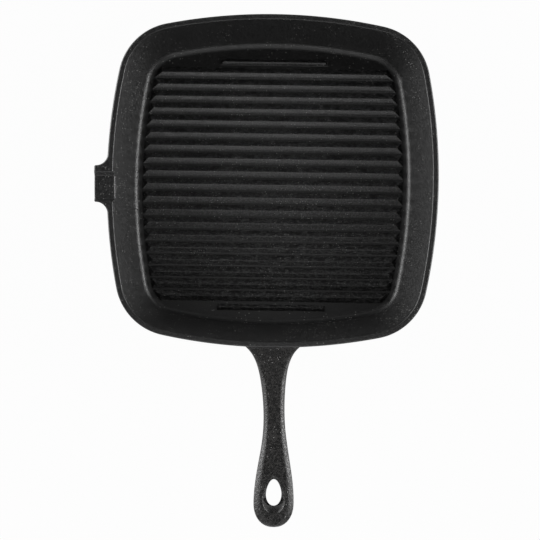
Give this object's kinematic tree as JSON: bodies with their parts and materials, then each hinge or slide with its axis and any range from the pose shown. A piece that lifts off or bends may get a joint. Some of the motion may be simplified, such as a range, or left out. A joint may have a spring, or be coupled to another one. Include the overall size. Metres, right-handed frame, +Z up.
{
  "type": "square grill pan",
  "caption": "Square cast-iron grill pan with bulged sides, sloped walls, a ribbed floor, a pour spout on one side and a waisted handle with an egg-shaped hanging hole.",
  "frame": {"origin": "middle of the flat underside", "axes": "+Z up out of the pan, -Y along the handle, -X towards the pour spout"},
  "size_m": [0.2783, 0.4137, 0.0464],
  "materials": {
    "seasoned_iron": "oil-seasoned sand casting, satin, fine grain",
    "rough_iron": "oil-seasoned sand casting, coarser grain on the handle and spout",
    "rib_iron": "oil-seasoned sand casting, satin, a little worn along the crests"
  },
  "bodies": {
    "root": {"pan_body": "seasoned_iron", "pour_spout": "rough_iron", "handle": "rough_iron", "far_end_rib": "rib_iron", "near_end_rib": "rib_iron", "grill_rib_01": "rib_iron", "grill_rib_02": "rib_iron", "grill_rib_03": "rib_iron", "grill_rib_04": "rib_iron", "grill_rib_05": "rib_iron", "grill_rib_06": "rib_iron", "grill_rib_07": "rib_iron", "grill_rib_08": "rib_iron", "grill_rib_09": "rib_iron", "grill_rib_10": "rib_iron", "grill_rib_11": "rib_iron", "grill_rib_12": "rib_iron", "grill_rib_13": "rib_iron", "grill_rib_14": "rib_iron", "grill_rib_15": "rib_iron", "grill_rib_16": "rib_iron", "grill_rib_17": "rib_iron", "grill_rib_18": "rib_iron", "grill_rib_19": "rib_iron"}
  },
  "joints": []
}
